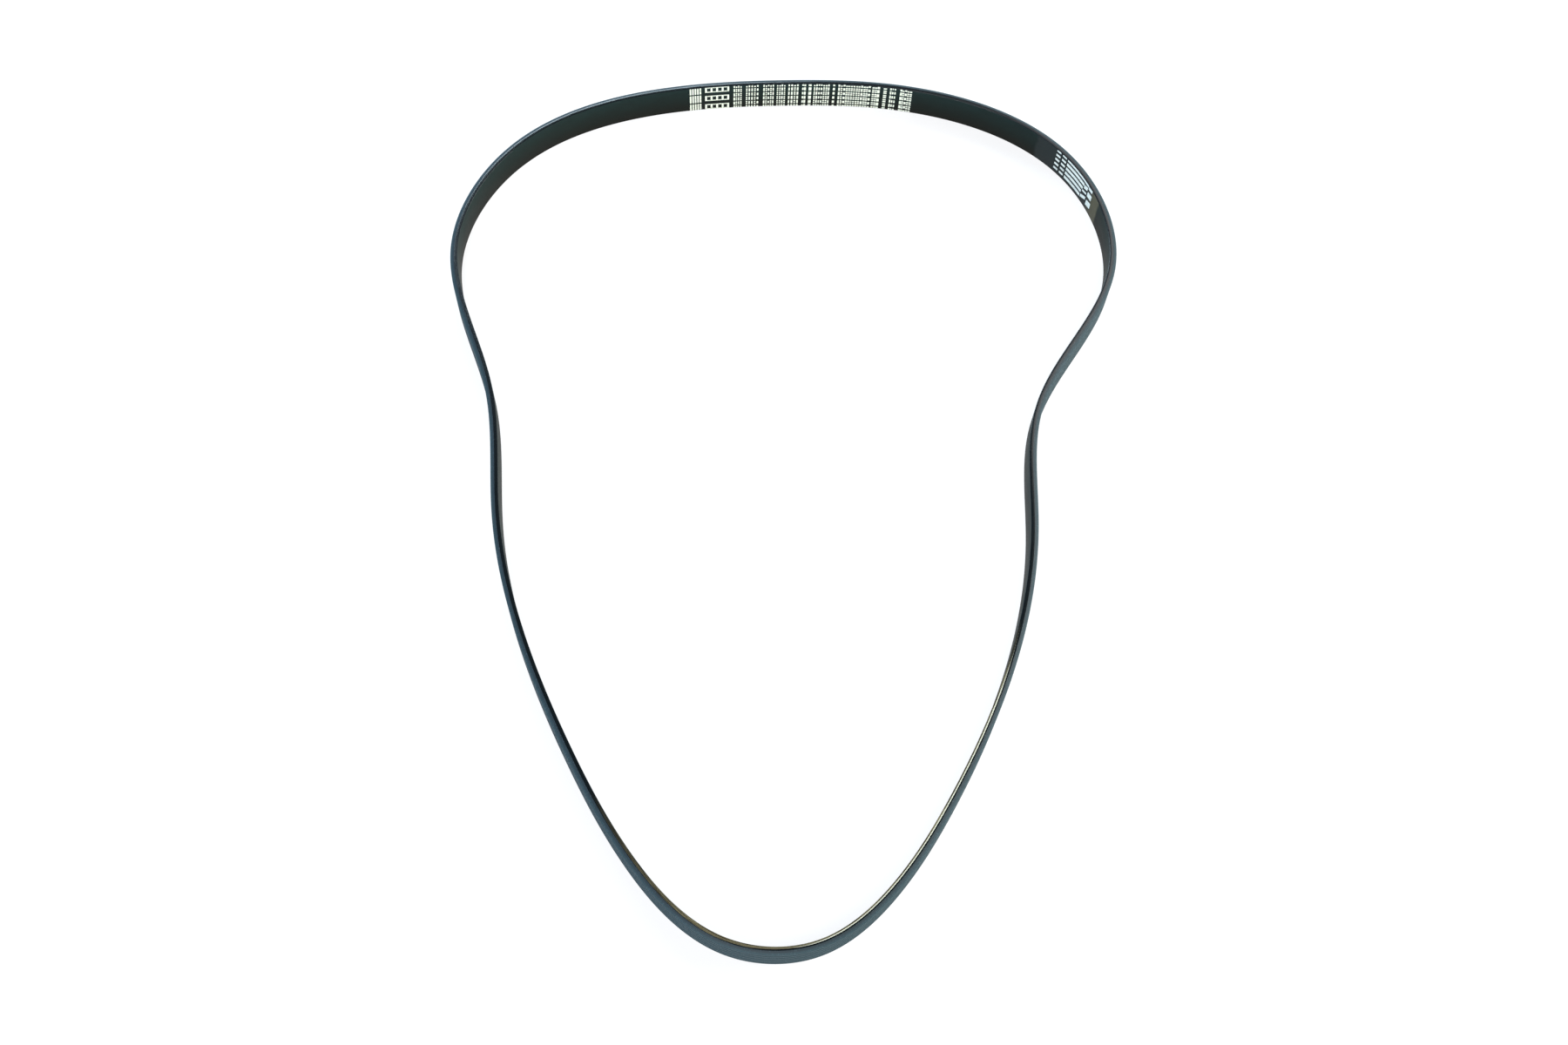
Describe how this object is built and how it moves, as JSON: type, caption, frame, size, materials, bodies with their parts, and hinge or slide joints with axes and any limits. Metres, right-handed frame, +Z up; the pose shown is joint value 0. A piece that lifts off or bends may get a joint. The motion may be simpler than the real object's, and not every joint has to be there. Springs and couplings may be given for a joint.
{
  "type": "serpentine belt",
  "caption": "Endless multi-rib rubber drive belt lying free on edge, smooth back inside the loop and V ribs outside, for engine accessory pulleys.",
  "frame": {"origin": "on the surface that the belt stands on, under the middle of the loop's bounding box", "axes": "+Z up across the belt's width, +Y along the loop from the narrow toe to the broad crown, +X to the right"},
  "size_m": [0.4122, 0.5696, 0.0214],
  "materials": {
    "belt_rubber": "matt black EPDM rubber, ground ribs, smooth fabric-marked back, cut edges"
  },
  "bodies": {
    "root": {"serpentine_belt": "belt_rubber"}
  },
  "joints": []
}
